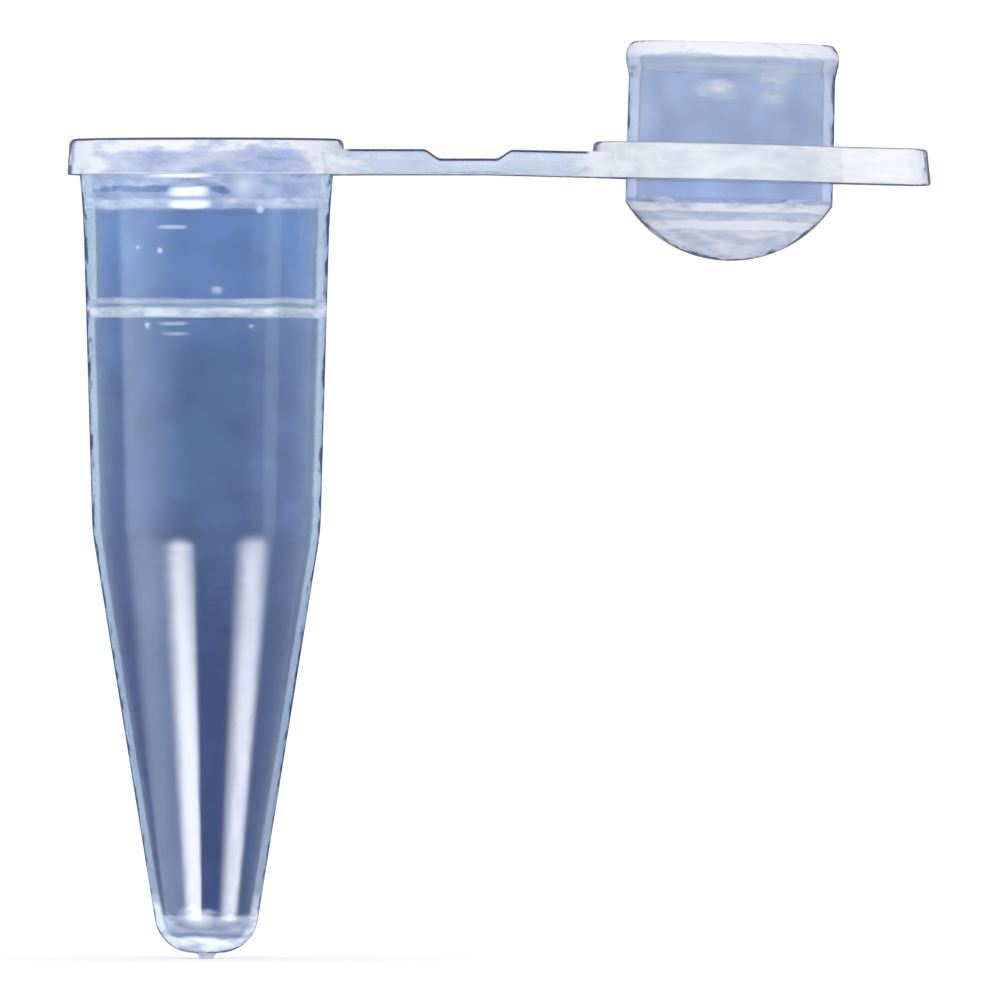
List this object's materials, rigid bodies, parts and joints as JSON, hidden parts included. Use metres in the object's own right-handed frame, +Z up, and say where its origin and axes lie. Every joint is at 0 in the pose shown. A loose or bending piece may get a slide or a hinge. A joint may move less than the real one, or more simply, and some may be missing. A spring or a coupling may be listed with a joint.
{
  "type": "microcentrifuge tube",
  "caption": "Small thin-walled clear plastic tube with a conical rounded tip, a collared mouth and a domed push-in lid held out to the side on a folding strap.",
  "frame": {"origin": "centre of the gate nub's end, at the bottom of the tube, on the tube's axis", "axes": "+Z up the tube's axis to its mouth, +X towards the lid as moulded, +Y across the tether"},
  "size_m": [0.0222, 0.0072, 0.0235],
  "materials": {
    "clear_wall": "clear natural polypropylene, thin wall, glossy, reading pale blue against a blue ground",
    "thick_section": "natural polypropylene in a thick section, milky and slightly hazy, smooth",
    "tether_strip": "natural polypropylene strip, translucent, smooth, with a slight haze"
  },
  "bodies": {
    "tube": {"tube_body": "clear_wall", "rim_collar": "thick_section", "wall_ring": "thick_section", "gate_nub": "thick_section", "tether_tube_half": "tether_strip"},
    "hinge": {"living_hinge": "tether_strip"},
    "lid": {"tether_lid_half": "tether_strip", "lid_deck": "thick_section", "thumb_tab": "thick_section", "sealing_plug": "clear_wall", "seal_bead": "clear_wall", "lid_dome": "clear_wall"}
  },
  "joints": [
    {"name": "tether_fold", "type": "hinge", "parent": "tube", "child": "hinge", "pos_m": [0.00618, 0, 0.02047], "axis": [0, -1, 0], "range_deg": [0, 90]},
    {"name": "lid_fold", "type": "hinge", "parent": "hinge", "child": "lid", "pos_m": [0.00722, 0, 0.02047], "axis": [0, -1, 0], "range_deg": [0, 91.4]}
  ],
  "couplings": [
    {"joint": "lid_fold", "follows": "tether_fold", "ratio": 1.0156}
  ]
}
